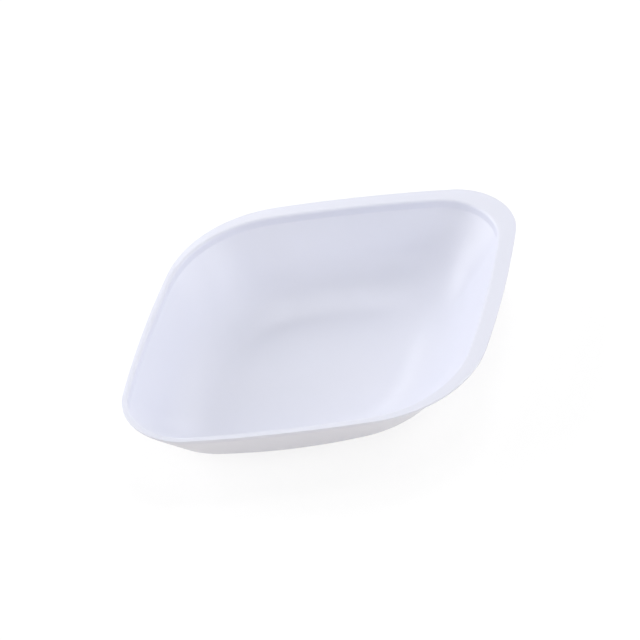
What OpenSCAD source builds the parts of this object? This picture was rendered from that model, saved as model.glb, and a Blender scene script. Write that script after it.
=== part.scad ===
// Diamond-shaped weighing boat, formed in one piece from thin plastic sheet.
// Origin: on the underside of the floor, at the middle of the rim's length and width.
// X runs along the long diagonal, Y along the short one, Z up. All sizes in millimetres.

/* [Mouth] */
// Length of the mouth, from tip to tip inside the flange
mouth_length = 79.5; // [70:0.5:100]
// Width of the mouth, between its two blunt corners
mouth_width = 56; // [44:0.5:80]
// Radius of the mouth's two tips
mouth_tip_r = 9.7; // [5:0.1:14]
// Radius of the mouth's two blunt corners
mouth_corner_r = 23; // [12:0.5:30]
// Radius to which the mouth's four sides bow outwards
mouth_bow_r = 235; // [120:5:600]

/* [Rim] */
// Mean width of the flange along the sides and round the blunt corners
flange_w = 2; // [1.6:0.1:6]
// Mean width of the flange at the two tips
tip_flange_w = 2.75; // [2.4:0.05:4]
// How far the flange falls from the mouth to its trimmed edge
flange_fall = 0.15; // [0:0.05:0.4]
// How far the cavity sits off the middle of the trimmed rim, towards the -X tip
trim_shift = 1.6; // [0:0.1:1.6]

/* [Floor] */
// How far the wall and its bend run in from the mouth to the flat floor, at a tip
tip_run = 21.75; // [17:0.25:26]
// How far they run in at a blunt corner
corner_run = 15; // [13:0.5:17]
// Radius of the floor's two tips
floor_tip_r = 7; // [3:0.5:9]
// Radius of the floor's two blunt corners
floor_corner_r = 11; // [6:0.5:15]
// Radius to which the floor's four sides bow outwards
floor_bow_r = 45; // [40:5:300]

/* [Wall] */
// Depth of the cavity, from the top of the flange to the floor
depth = 13; // [11:0.5:18]
// Radius of the bend between the wall and the floor, inside the cavity
floor_bend_r = 12.5; // [4:0.5:13]
// Depth of the steep step just below the flange
step_depth = 1.5; // [0.8:0.1:3]
// Draft of the step, from the vertical
step_draft = 6; // [2:1:12]
// Radius of the bend at the foot of the step, inside the cavity
step_bend_r = 0.6; // [0.2:0.1:1.5]
// Radius of the bend from the flange to the step, on its inner side
lip_bend_r = 0.15; // [0.05:0.05:0.4]

/* [Sheet] */
// Thickness of the sheet
sheet_t = 0.35; // [0.2:0.05:0.6]

/* [Smoothness] */
// Steps round a quarter of each tip's arc
tip_steps = 9; // [4:1:12]
// Steps along each bowed side
bow_steps = 6; // [3:1:10]
// Steps round a quarter of each blunt corner's arc
corner_steps = 12; // [5:1:14]
// Steps up the bend between the floor and the wall
bend_steps = 8; // [4:1:10]

/* [Hidden] */
LIP_STEPS = 4;
// The most of the step's depth that the lip's bend may take
LIP_SHARE = 0.8;
FOOT_STEPS = 3;
WALL_STEPS = 2;
SHEET_COLOUR = [0.93, 0.94, 0.98];

// An outline is a rhombus with rounded corners and bowed sides, held as
// [tip centre x, tip radius, corner centre y, corner radius, curvature of the sides].
MOUTH = outline_of(mouth_length, mouth_width, mouth_tip_r, mouth_corner_r, mouth_bow_r);
FLOOR = outline_of(
    mouth_length - 2 * tip_run,
    mouth_width - 2 * corner_run,
    floor_tip_r,
    floor_corner_r,
    floor_bow_r
);
RIM = with_tips_at(grown(MOUTH, flange_w), mouth_length / 2 + tip_flange_w);

function outline_of(length, width, tip_r, corner_r, bow_r) =
    [length / 2 - tip_r, tip_r, width / 2 - corner_r, corner_r, 1 / bow_r];

// The parallel outline that lies a distance outside the given one
function grown(outline, by) =
    [outline[0], outline[1] + by, outline[2], outline[3] + by, 1 / (1 / outline[4] + by)];

// Centre of the arc that forms the side of the first quadrant: it touches the
// tip's circle and the corner's circle from outside.
function bow_centre(outline) =
    let (
        bow_r = 1 / outline[4],
        tip = [outline[0], 0],
        corner = [0, outline[2]],
        to_tip = bow_r - outline[1],
        to_corner = bow_r - outline[3],
        gap = norm(corner - tip),
        along = (corner - tip) / gap,
        across = [along[1], -along[0]],
        foot = (to_tip ^ 2 - to_corner ^ 2 + gap ^ 2) / (2 * gap)
    )
    tip + along * foot - across * sqrt(to_tip ^ 2 - foot ^ 2);

// The outline with the same sides and blunt corners, but with its tips at the given reach
function with_tips_at(outline, reach) =
    let (
        centre = bow_centre(outline),
        past = reach - 1 / outline[4],
        tip_x = (past ^ 2 - centre * centre) / (2 * (past - centre[0]))
    )
    [tip_x, reach - tip_x, outline[2], outline[3], outline[4]];

// How far the middle of a bowed side lies from the centre of the outline
function side_reach(outline) = 1 / outline[4] - norm(bow_centre(outline));

// Points of an arc, without the last one
function arc(centre, r, from, to, steps) =
    [for (i = [0 : steps - 1])
        let (a = from + (to - from) * i / steps)
        centre + r * [cos(a), sin(a)]];

// Points of the outline from the +X tip to the +Y corner, without the last one
function quarter(outline) =
    let (
        tip = [outline[0], 0],
        corner = [0, outline[2]],
        centre = bow_centre(outline),
        from_tip = tip - centre,
        from_corner = corner - centre,
        side_start = atan2(from_tip[1], from_tip[0]),
        side_end = atan2(from_corner[1], from_corner[0])
    )
    concat(
        arc(tip, outline[1], 0, side_start, tip_steps),
        arc(centre, 1 / outline[4], side_start, side_end, bow_steps),
        arc(corner, outline[3], side_end, 90, corner_steps)
    );

// All the points of the outline, anticlockwise from the +X tip
function outline_points(outline) =
    let (
        q = quarter(outline),
        top = [0, outline[2] + outline[3]],
        last = len(q) - 1
    )
    concat(
        q,
        [top],
        [for (i = [last : -1 : 1]) [-q[i][0], q[i][1]]],
        [for (p = q) -p],
        [-top],
        [for (i = [last : -1 : 1]) [q[i][0], -q[i][1]]]
    );

// The section of the sheet is drawn with the mouth's edge at [0, 0], first
// coordinate inwards and second one up. A slope is the angle of the surface
// below the horizontal, in the direction that leads into the cavity.
function facing(slope) = [sin(slope), cos(slope)];

// Stations [point, facing] round a bend of the upper surface at a corner of the section
function bend(corner, slope_from, slope_to, r, steps) =
    let (
        side = slope_to > slope_from ? 1 : -1,
        reach = (facing(slope_from) + facing(slope_to)) / (1 + cos(slope_to - slope_from)),
        centre = corner - side * r * reach
    )
    [for (i = [0 : steps])
        let (slope = slope_from + (slope_to - slope_from) * i / steps)
        [centre + side * r * facing(slope), facing(slope)]];

STEP_SLOPE = 90 - step_draft;
STEP_FOOT = [step_depth * tan(step_draft), -step_depth];
WALL_RUN = side_reach(MOUTH) - side_reach(FLOOR);

// The wall is the line from the foot of the step that touches the floor's bend,
// which in turn ends on the edge of the flat floor.
TO_BEND = [WALL_RUN, floor_bend_r - depth] - STEP_FOOT;
WALL_SLOPE = atan2(-TO_BEND[1], TO_BEND[0]) + asin(floor_bend_r / norm(TO_BEND));
WALL_FOOT = [STEP_FOOT[0] + (depth - step_depth) / tan(WALL_SLOPE), -depth];

LIP_R = min(lip_bend_r + sheet_t, step_depth * LIP_SHARE);
LIP_BEND = bend([0, 0], 0, STEP_SLOPE, LIP_R, LIP_STEPS);
STEP_BEND = bend(STEP_FOOT, STEP_SLOPE, WALL_SLOPE, step_bend_r, FOOT_STEPS);
FLOOR_BEND = bend(WALL_FOOT, WALL_SLOPE, 0, floor_bend_r, bend_steps);
WALL_TOP = STEP_BEND[FOOT_STEPS][0];
WALL_END = FLOOR_BEND[0][0];
WALL = [for (i = [1 : WALL_STEPS - 1])
    [WALL_TOP + (WALL_END - WALL_TOP) * i / WALL_STEPS, facing(WALL_SLOPE)]];
STATIONS = concat(LIP_BEND, STEP_BEND, WALL, FLOOR_BEND);

// The outline of the upper surface at a distance in from the mouth's edge. It is
// parallel to the mouth on the flange and turns into the floor's on the wall.
function outline_at(inset) =
    inset < 0 ? grown(MOUTH, -inset) : MOUTH + (FLOOR - MOUTH) * (inset / WALL_RUN);

RIM_TOP = depth + sheet_t;

function ring(outline, x, z) = [for (p = outline_points(outline)) [p[0] + x, p[1], RIM_TOP + z]];

// The ring of a station, on the surface that lies a distance below the upper one
function station_ring(station, below) =
    let (point = station[0], face = station[1])
    ring(
        grown(outline_at(point[0]), below * face[0]),
        -trim_shift,
        point[1] - below * face[1]
    );

RINGS = concat(
    [for (i = [len(STATIONS) - 1 : -1 : 0]) station_ring(STATIONS[i], sheet_t)],
    [ring(RIM, 0, -flange_fall - sheet_t), ring(RIM, 0, -flange_fall)],
    [for (station = STATIONS) station_ring(station, 0)]
);

module weighing_boat() {
    count = len(RINGS[0]);
    last = len(RINGS) - 1;
    underside = [for (i = [0 : count - 1]) i];
    floor_top = [for (i = [count - 1 : -1 : 0]) last * count + i];
    skin = [for (r = [0 : last - 1], i = [0 : count - 1])
        let (next = (i + 1) % count)
        [r * count + i, (r + 1) * count + i, (r + 1) * count + next, r * count + next]];
    color(SHEET_COLOUR)
        polyhedron(
            points = [for (r = RINGS) each r],
            faces = concat([underside, floor_top], skin),
            convexity = 4
        );
}

weighing_boat();
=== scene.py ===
"""Diamond-shaped weighing boat: its formed plastic sheet, on a white table under soft light."""

import math

import bmesh
import bpy
from mathutils import Matrix, Vector


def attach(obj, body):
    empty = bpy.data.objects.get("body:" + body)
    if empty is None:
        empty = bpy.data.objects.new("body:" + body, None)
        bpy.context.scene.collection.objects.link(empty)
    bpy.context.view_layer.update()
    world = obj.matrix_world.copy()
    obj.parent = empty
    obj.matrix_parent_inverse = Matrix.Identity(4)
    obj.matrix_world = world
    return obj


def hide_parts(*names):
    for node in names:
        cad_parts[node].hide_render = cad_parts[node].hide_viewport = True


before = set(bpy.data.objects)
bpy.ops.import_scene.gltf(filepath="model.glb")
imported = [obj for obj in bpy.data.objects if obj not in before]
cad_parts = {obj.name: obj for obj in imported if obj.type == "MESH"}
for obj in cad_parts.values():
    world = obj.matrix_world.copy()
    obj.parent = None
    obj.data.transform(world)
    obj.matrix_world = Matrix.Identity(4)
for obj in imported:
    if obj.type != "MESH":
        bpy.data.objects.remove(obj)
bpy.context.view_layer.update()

MM = 0.001

# Sizes of the formed sheet, in millimetres. An outline is a rhombus with rounded
# corners and bowed sides: length, width, tip radius, corner radius, bow radius.
MOUTH = dict(length=79.5, width=56.0, tip_r=9.7, corner_r=23.0, bow_r=235.0)
FLOOR = dict(length=36.0, width=26.0, tip_r=7.0, corner_r=11.0, bow_r=45.0)
FLANGE_WIDTH = 2.0
TIP_FLANGE_WIDTH = 2.75
FLANGE_FALL = 0.15
CAVITY_SHIFT = 1.6
DEPTH = 13.0
FLOOR_BEND_R = 12.5
STEP_DEPTH = 1.5
STEP_SLOPE = math.radians(84)
STEP_BEND_R = 0.6
LIP_R = 0.5
SHEET = 0.35

TRIM_R = 0.05
FLOOR_MARGIN = 0.8

# Steps round each arc of a quarter outline, and down each stretch of the section.
TIP_STEPS = 22
SIDE_STEPS = 18
CORNER_STEPS = 26
LIP_STEPS = 6
STEP_BEND_STEPS = 5
WALL_STEPS = 5
FLOOR_BEND_STEPS = 20
# Loops across the flange, as shares of the way from its trimmed edge to the lip.
FLANGE_SHARES = (0, 0.1, 0.9)
SEAM_REACH = 0.01

# Metres: the camera, and the table's plane just under the boat.
CAMERA_AT = (-0.271065, -0.305744, 0.371073)
CAMERA_AIM = (0.002570, 0.004217, 0.006675)
CAMERA_ROLL = math.radians(-2.0876)
CAMERA_LENS = 177.48
TABLE_WIDTH = 1.8
TABLE_GAP = 0.00005

ROOM_LIGHT = 0.26
LAMP_DISTANCE = 1.0
LAMP_WIDTH = 0.25
# Name, bearing from +X and height above the table in degrees, watts, width in metres.
LAMPS = [
    ("key", 120, 20, 4.10, 0.7),
    ("key_left", 150, 20, 1.45, LAMP_WIDTH),
    ("key_high", 105, 34, 0.75, LAMP_WIDTH),
    ("back", 60, 34, 0.71, LAMP_WIDTH),
    ("right", 15, 20, 1.46, 0.5),
    ("right_low", 330, 6, 1.14, LAMP_WIDTH),
    ("right_high", 330, 48, 0.70, LAMP_WIDTH),
    ("front_right", 300, 20, 1.37, LAMP_WIDTH),
    ("front", 255, 20, 1.14, LAMP_WIDTH),
    ("front_low", 240, 6, 0.57, LAMP_WIDTH),
    ("front_high", 225, 48, 0.69, LAMP_WIDTH),
    ("top_back", 45, 64, 1.20, LAMP_WIDTH),
    ("top", 0, 80, 0.86, LAMP_WIDTH),
]


# ---------------------------------------------------------------- the shape

def arc_centres(o):
    """Centres of the tip's arc, the side's arc and the corner's arc in the first quarter."""
    tip = Vector((o["length"] / 2 - o["tip_r"], 0, 0))
    corner = Vector((0, o["width"] / 2 - o["corner_r"], 0))
    to_tip, to_corner = o["bow_r"] - o["tip_r"], o["bow_r"] - o["corner_r"]
    gap = (corner - tip).length
    along = (corner - tip) / gap
    inwards = Vector((-along.y, along.x, 0))
    foot = (to_tip ** 2 - to_corner ** 2 + gap ** 2) / (2 * gap)
    return tip, tip + along * foot + inwards * math.sqrt(to_tip ** 2 - foot ** 2), corner


def side_reach(o):
    """How far the middle of a side lies from the outline's centre."""
    return o["bow_r"] - arc_centres(o)[1].length


def blended(o, other, share):
    """The outline a share of the way from one to the other."""
    mix = {k: o[k] + (other[k] - o[k]) * share for k in o}
    mix["bow_r"] = 1 / (1 / o["bow_r"] + (1 / other["bow_r"] - 1 / o["bow_r"]) * share)
    return mix


def widened(o, by):
    """The parallel outline a distance outside the given one."""
    return dict(length=o["length"] + 2 * by, width=o["width"] + 2 * by,
                tip_r=o["tip_r"] + by, corner_r=o["corner_r"] + by, bow_r=o["bow_r"] + by)


def with_tips_at(o, reach):
    """The outline with the same sides and blunt corners, but with its tips at the given reach."""
    bow = arc_centres(o)[1]
    past = reach - o["bow_r"]
    tip_x = (past ** 2 - bow.length_squared) / (2 * (past - bow.x))
    return dict(o, length=2 * reach, tip_r=reach - tip_x)


def spun(bm, vert, centre, angle, steps):
    """Spins a vertex round a centre into an arc and returns the arc's last vertex."""
    arc = bmesh.ops.spin(bm, geom=[vert], cent=centre, axis=(0, 0, 1), angle=angle, steps=steps)
    return next(g for g in arc["geom_last"] if isinstance(g, bmesh.types.BMVert))


def outline_loop(bm, o, x, z):
    """Draws an outline as a closed loop: a quarter of three arcs, mirrored twice."""
    tip, bow, corner = arc_centres(o)
    side_start, side_end = [math.atan2(c.y - bow.y, c.x - bow.x) for c in (tip, corner)]
    known = set(bm.edges)
    end = bm.verts.new((o["length"] / 2, 0, 0))
    end = spun(bm, end, tip, side_start, TIP_STEPS)
    end = spun(bm, end, bow, side_end - side_start, SIDE_STEPS)
    spun(bm, end, corner, math.pi / 2 - side_end, CORNER_STEPS)
    for axis in "XY":
        drawn = [e for e in bm.edges if e not in known]
        verts = list({v for e in drawn for v in e.verts})
        bmesh.ops.mirror(bm, geom=verts + drawn, axis=axis, merge_dist=SEAM_REACH)
    drawn = [e for e in bm.edges if e not in known]
    bmesh.ops.translate(bm, verts=list({v for e in drawn for v in e.verts}), vec=(x, 0, z))
    return drawn


def facing(slope):
    """Outward direction of the upper surface, in the section, where it slopes down inwards."""
    return Vector((math.sin(slope), math.cos(slope)))


def bend(corner, slope_from, slope_to, radius, steps):
    """Stations round a bend: (distance in from the mouth's edge, height), and facing."""
    side = 1 if slope_to > slope_from else -1
    reach = (facing(slope_from) + facing(slope_to)) / (1 + math.cos(slope_to - slope_from))
    centre = Vector(corner) - side * radius * reach
    slopes = [slope_from + (slope_to - slope_from) * i / steps for i in range(steps + 1)]
    return [(centre + side * radius * facing(slope), facing(slope)) for slope in slopes]


def sheet_section(run):
    """The upper surface from the lip to the floor, which starts a run in from the mouth."""
    step_foot = Vector((STEP_DEPTH / math.tan(STEP_SLOPE), -STEP_DEPTH))
    to_bend = Vector((run, FLOOR_BEND_R - DEPTH)) - step_foot
    wall = math.atan2(-to_bend.y, to_bend.x) + math.asin(FLOOR_BEND_R / to_bend.length)
    wall_foot = (step_foot.x + (DEPTH - STEP_DEPTH) / math.tan(wall), -DEPTH)
    stations = bend((0, 0), 0, STEP_SLOPE, LIP_R, LIP_STEPS)
    stations += bend(step_foot, STEP_SLOPE, wall, STEP_BEND_R, STEP_BEND_STEPS)
    floor_bend = bend(wall_foot, wall, 0, FLOOR_BEND_R, FLOOR_BEND_STEPS)
    wall_top, wall_end = stations[-1][0], floor_bend[0][0]
    stations += [
        (wall_top.lerp(wall_end, i / WALL_STEPS), facing(wall)) for i in range(1, WALL_STEPS)
    ]
    return stations + floor_bend


def outline_at(inset, run):
    """The outline a distance in from the mouth: parallel on the flange, blended on the wall."""
    return widened(MOUTH, -inset) if inset < 0 else blended(MOUTH, FLOOR, inset / run)


def formed_boat():
    """Outlines lofted up the sheet's underside, round its edge and down its upper surface."""
    bm = bmesh.new()
    rim = with_tips_at(widened(MOUTH, FLANGE_WIDTH), MOUTH["length"] / 2 + TIP_FLANGE_WIDTH)
    top = DEPTH + SHEET
    run = side_reach(MOUTH) - side_reach(FLOOR)
    section = sheet_section(run)
    lip = outline_at(section[0][0].x, run)

    def surface(below):
        """Loops from the trimmed edge to the floor, a distance below the upper surface."""
        loops = [
            outline_loop(bm, blended(rim, lip, s), -CAVITY_SHIFT * s,
                         top - FLANGE_FALL * (1 - s) - below)
            for s in FLANGE_SHARES
        ]
        return loops + [
            outline_loop(bm, widened(outline_at(point.x, run), below * face.x), -CAVITY_SHIFT,
                         top + point.y - below * face.y)
            for point, face in section
        ]

    loops = surface(SHEET)[::-1] + surface(0)
    for loop, following in zip(loops, loops[1:]):
        bmesh.ops.bridge_loops(bm, edges=loop + following)
    for loop in (loops[0], loops[-1]):
        floor = bmesh.ops.contextual_create(bm, geom=loop)["faces"]
        bmesh.ops.inset_region(bm, faces=floor, thickness=FLOOR_MARGIN, use_even_offset=True)
    bmesh.ops.recalc_face_normals(bm, faces=bm.faces)
    bmesh.ops.scale(bm, verts=bm.verts, vec=(MM, MM, MM))
    mesh = bpy.data.meshes.new("formed_boat")
    bm.to_mesh(mesh)
    bm.free()
    mesh.shade_smooth()
    boat = bpy.data.objects.new("formed_boat", mesh)
    bpy.context.collection.objects.link(boat)

    trimmed = boat.modifiers.new("trimmed edge", "BEVEL")
    trimmed.width = TRIM_R * MM
    trimmed.segments = 2
    trimmed.use_clamp_overlap = False
    trimmed.limit_method = "ANGLE"
    trimmed.angle_limit = math.radians(60)
    trimmed.harden_normals = True
    return boat


# ---------------------------------------------------------------- the finish

def formed_plastic():
    """Cool white plastic with a soft gloss: waves from forming, finer grain, uneven sheen."""
    material = bpy.data.materials.new("formed_plastic_sheet")
    material.use_nodes = True
    nodes, links = material.node_tree.nodes, material.node_tree.links
    shader = nodes["Principled BSDF"]
    shader.inputs["IOR"].default_value = 1.57
    place = nodes.new("ShaderNodeTexCoord").outputs["Object"]

    def noise(scale, detail=2.0):
        node = nodes.new("ShaderNodeTexNoise")
        node.inputs["Scale"].default_value = scale
        node.inputs["Detail"].default_value = detail
        links.new(place, node.inputs["Vector"])
        return node.outputs["Fac"]

    def span(value, start, end, low, high):
        node = nodes.new("ShaderNodeMapRange")
        links.new(value, node.inputs["Value"])
        limits = {"From Min": start, "From Max": end, "To Min": low, "To Max": high}
        for name, number in limits.items():
            node.inputs[name].default_value = number
        return node.outputs["Result"]

    tint = nodes.new("ShaderNodeMix")
    tint.data_type = "RGBA"
    tint.inputs["A"].default_value = (0.785, 0.803, 0.906, 1)
    tint.inputs["B"].default_value = (0.805, 0.818, 0.918, 1)
    links.new(span(noise(45), 0.3, 0.7, 0, 1), tint.inputs["Factor"])
    links.new(tint.outputs["Result"], shader.inputs["Base Color"])
    links.new(span(noise(160, 4), 0.3, 0.7, 0.35, 0.44), shader.inputs["Roughness"])

    def bump(height, distance, onto=None):
        node = nodes.new("ShaderNodeBump")
        node.inputs["Strength"].default_value = 1.0
        node.inputs["Distance"].default_value = distance
        links.new(height, node.inputs["Height"])
        if onto:
            links.new(onto, node.inputs["Normal"])
        return node.outputs["Normal"]

    waves = bump(noise(70, 1), 0.00010)
    grain = bump(noise(1400, 2), 0.000003, waves)
    links.new(grain, shader.inputs["Normal"])
    return material


boat = formed_boat()
boat.data.materials.append(formed_plastic())
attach(boat, "root")
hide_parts("weighing_boat")


# ---------------------------------------------------------------- the studio

def seen_directly(nodes, links):
    """1 for rays that show the table or the room as a picture, 0 for the light they shed."""
    path = nodes.new("ShaderNodeLightPath")
    total = path.outputs["Is Camera Ray"]
    for ray in ("Is Glossy Ray", "Is Transmission Ray"):
        node = nodes.new("ShaderNodeMath")
        node.operation = "MAXIMUM"
        links.new(total, node.inputs[0])
        links.new(path.outputs[ray], node.inputs[1])
        total = node.outputs[0]
    return total


def table():
    """A white table that shows the boat's soft shadow."""
    bpy.ops.mesh.primitive_plane_add(size=TABLE_WIDTH, location=(0, 0, -TABLE_GAP))
    floor = bpy.context.object
    floor.name = "table"
    material = bpy.data.materials.new("white_table")
    material.use_nodes = True
    nodes, links = material.node_tree.nodes, material.node_tree.links
    nodes.remove(nodes["Principled BSDF"])
    lit = nodes.new("ShaderNodeBsdfDiffuse")
    lit.inputs["Color"].default_value = (0.84, 0.79, 0.72, 1)
    faint = nodes.new("ShaderNodeBsdfDiffuse")
    faint.inputs["Color"].default_value = (0.25, 0.25, 0.25, 1)
    glow = nodes.new("ShaderNodeEmission")
    glow.inputs["Strength"].default_value = 0.80
    shown = nodes.new("ShaderNodeAddShader")
    links.new(faint.outputs[0], shown.inputs[0])
    links.new(glow.outputs[0], shown.inputs[1])
    mix = nodes.new("ShaderNodeMixShader")
    links.new(seen_directly(nodes, links), mix.inputs["Fac"])
    links.new(lit.outputs[0], mix.inputs[1])
    links.new(shown.outputs[0], mix.inputs[2])
    links.new(mix.outputs[0], nodes["Material Output"].inputs["Surface"])
    floor.data.materials.append(material)


def room(strength):
    """A pale room: a plain soft light from all round, seen as white."""
    world = bpy.data.worlds.new("pale_room")
    bpy.context.scene.world = world
    world.use_nodes = True
    nodes, links = world.node_tree.nodes, world.node_tree.links
    light = nodes["Background"]
    light.inputs["Color"].default_value = (1, 1, 1, 1)
    light.inputs["Strength"].default_value = strength
    shown = nodes.new("ShaderNodeBackground")
    shown.inputs["Color"].default_value = (1, 1, 1, 1)
    mix = nodes.new("ShaderNodeMixShader")
    links.new(seen_directly(nodes, links), mix.inputs["Fac"])
    links.new(light.outputs[0], mix.inputs[1])
    links.new(shown.outputs[0], mix.inputs[2])
    links.new(mix.outputs[0], nodes["World Output"].inputs["Surface"])


def soft_lamp(name, bearing, height, watts, width):
    """A square lamp aimed at the boat."""
    lamp = bpy.data.lights.new(name, "AREA")
    lamp.energy = watts
    lamp.size = width
    holder = bpy.data.objects.new(name, lamp)
    bpy.context.collection.objects.link(holder)
    a, e = math.radians(bearing), math.radians(height)
    away = Vector((math.cos(e) * math.cos(a), math.cos(e) * math.sin(a), math.sin(e)))
    holder.location = away * LAMP_DISTANCE
    holder.rotation_euler = away.to_track_quat("Z", "Y").to_euler()


def camera():
    """A long lens on the near left side, well above the boat."""
    lens = bpy.data.cameras.new("camera")
    lens.lens = CAMERA_LENS
    lens.sensor_width = 36
    lens.clip_start = 0.01
    holder = bpy.data.objects.new("camera", lens)
    bpy.context.collection.objects.link(holder)
    at = Vector(CAMERA_AT)
    turn = (Vector(CAMERA_AIM) - at).to_track_quat("-Z", "Y").to_matrix()
    turn = turn @ Matrix.Rotation(CAMERA_ROLL, 3, "Z")
    holder.matrix_world = Matrix.Translation(at) @ turn.to_4x4()
    bpy.context.scene.camera = holder


table()
room(ROOM_LIGHT)
for lamp in LAMPS:
    soft_lamp(*lamp)
camera()
bpy.context.scene.view_settings.view_transform = "Standard"
